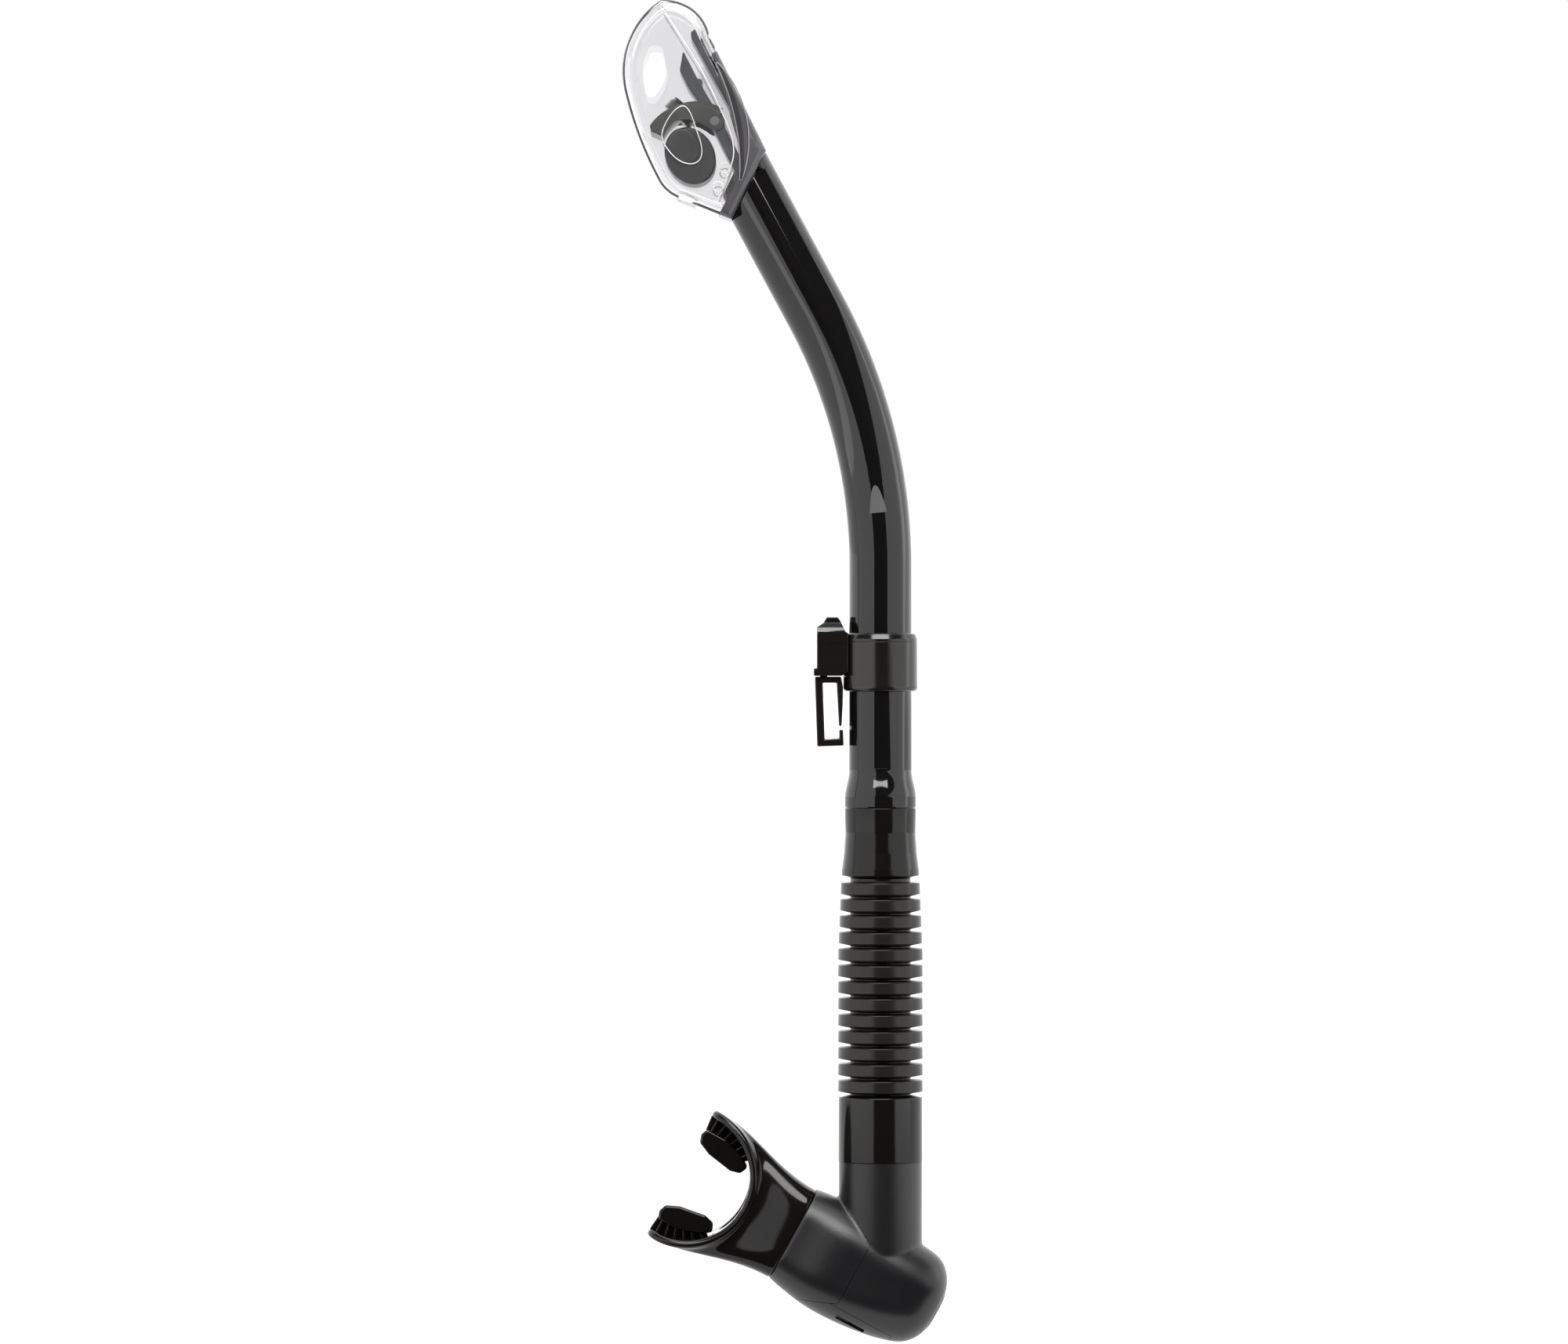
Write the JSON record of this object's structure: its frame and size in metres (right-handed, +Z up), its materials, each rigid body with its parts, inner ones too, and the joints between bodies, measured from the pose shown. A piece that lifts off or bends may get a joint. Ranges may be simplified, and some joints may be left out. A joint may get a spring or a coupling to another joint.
{
  "type": "snorkel",
  "caption": "Dry-top snorkel with a bent rigid barrel, float valve under a clear cap, strap clip, ribbed flexible hose, purge elbow and mouthpiece.",
  "frame": {"origin": "middle of the loop that the mask strap passes through", "axes": "+Z up along the straight part of the barrel, +X from the strap loop towards the barrel, +Y away from the side with the key flat"},
  "size_m": [0.112, 0.0298, 0.4611],
  "materials": {
    "barrel_gloss": "polished black tube",
    "inner_plastic": "dark moulded plastic",
    "housing_smoke": "smoke grey gloss",
    "cap_clear": "clear polycarbonate",
    "pin_steel": "small steel pin",
    "lever_olive": "olive black moulded plastic",
    "float_black": "black moulded plastic",
    "silicone_black": "polished black silicone",
    "silicone_clear": "translucent silicone",
    "band_satin": "satin warm grey",
    "clip_gloss": "glossy black acetal",
    "elbow_matte": "soft matte dark grey"
  },
  "bodies": {
    "barrel": {"barrel_tube": "barrel_gloss", "hose_coupling": "inner_plastic", "inlet_housing": "housing_smoke", "inlet_duct": "inner_plastic", "splash_cap": "cap_clear", "cap_latch": "inner_plastic", "float_pins": "pin_steel"},
    "float": {"float_lever": "lever_olive", "float_body": "float_black", "float_end_caps": "float_black", "valve_seal": "silicone_black"},
    "keeper": {"keeper_band": "band_satin", "clip_receiver": "clip_gloss"},
    "release": {"release_tab": "clip_gloss"},
    "hook": {"strap_hook": "clip_gloss"},
    "hose": {"flex_hose": "silicone_black"},
    "elbow": {"elbow_body": "elbow_matte", "collar_shell": "elbow_matte", "mouthpiece": "silicone_black", "purge_seat": "inner_plastic", "purge_cover": "elbow_matte"},
    "purge": {"purge_disc": "silicone_clear"}
  },
  "joints": [
    {"name": "float_valve", "type": "hinge", "parent": "barrel", "child": "float", "pos_m": [-0.03942, 0, 0.20198], "axis": [0, 1, 0], "range_deg": [0, 18]},
    {"name": "keeper_slide", "type": "slide", "parent": "barrel", "child": "keeper", "axis": [0, 0, 1], "range_m": [-0.0125, 0.022]},
    {"name": "release_press", "type": "slide", "parent": "keeper", "child": "release", "axis": [0, 0, -1], "range_m": [0, 0.0014], "stiffness_N_per_m": 600},
    {"name": "hook_release", "type": "slide", "parent": "keeper", "child": "hook", "axis": [0, 0, -1], "range_m": [0, 0.012]},
    {"name": "hose_swivel", "type": "hinge", "parent": "barrel", "child": "hose", "pos_m": [0.0175, 0, -0.045], "axis": [0, 0, 1], "range_deg": [-90, 90]},
    {"name": "hose_flex", "type": "hinge", "parent": "hose", "child": "elbow", "pos_m": [0.0175, 0, -0.095], "axis": [0, 1, 0], "range_deg": [-30, 35], "stiffness_Nm_per_rad": 0.5, "deforming": ["flex_hose"]},
    {"name": "purge_lift", "type": "slide", "parent": "elbow", "child": "purge", "axis": [-0.4818, 0, -0.8763], "range_m": [0, 0.0014], "stiffness_N_per_m": 60}
  ]
}
